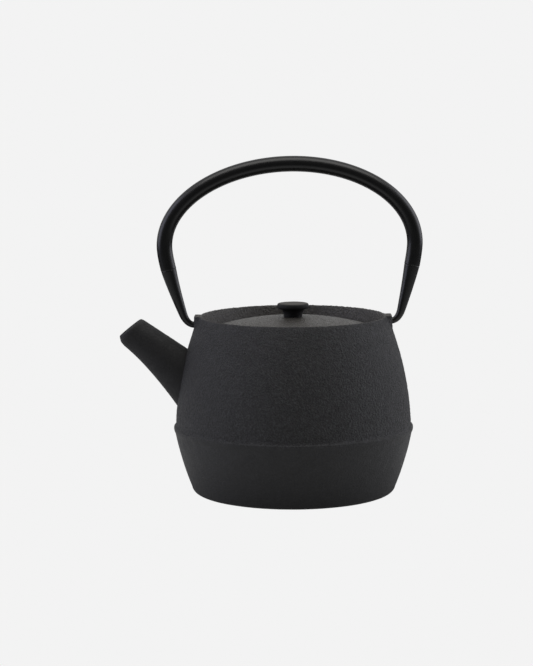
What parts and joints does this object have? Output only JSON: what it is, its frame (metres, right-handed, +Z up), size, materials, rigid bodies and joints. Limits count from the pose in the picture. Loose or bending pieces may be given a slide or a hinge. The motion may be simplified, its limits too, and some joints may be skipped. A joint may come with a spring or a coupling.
{
  "type": "cast-iron teapot with infuser",
  "caption": "Round cast-iron teapot with a straight tapered spout, a tall swinging bail handle, a sunken domed lid with a flat knob, and a hanging perforated tea basket.",
  "frame": {"origin": "centre of the underside, on the surface that the pot stands on", "axes": "+Z up; -X towards the spout; the handle's hooks lie along X; +Y away from the usual front view"},
  "size_m": [0.1965, 0.1558, 0.2175],
  "materials": {
    "pot_iron": "matt black, pebbled casting",
    "lid_iron": "matt warm black, fine grain",
    "knob_iron": "satin black",
    "handle_paint": "satin black paint on steel tube",
    "stainless": "brushed stainless steel",
    "stainless_mesh": "perforated stainless sheet"
  },
  "bodies": {
    "pot": {"pot_body": "pot_iron", "spout": "pot_iron"},
    "handle": {"handle_grip": "handle_paint", "handle_leg_left": "handle_paint", "handle_leg_right": "handle_paint"},
    "infuser": {"infuser_rim": "stainless", "infuser_wall": "stainless_mesh", "infuser_base_band": "stainless", "infuser_base": "stainless_mesh"},
    "lid": {"lid": "lid_iron", "lid_knob": "knob_iron", "knob_screw": "stainless", "screw_washer": "stainless"}
  },
  "joints": [
    {"name": "handle_swing", "type": "hinge", "parent": "pot", "child": "handle", "pos_m": [-0.00023, 0, 0.10985], "axis": [0.9999, 0, 0.015], "range_deg": [-122, 122]},
    {"name": "infuser_lift", "type": "slide", "parent": "pot", "child": "infuser", "axis": [0, 0, 1], "range_m": [0, 0.08]},
    {"name": "lid_lift", "type": "slide", "parent": "infuser", "child": "lid", "axis": [0, 0, 1], "range_m": [0, 0.07]}
  ]
}
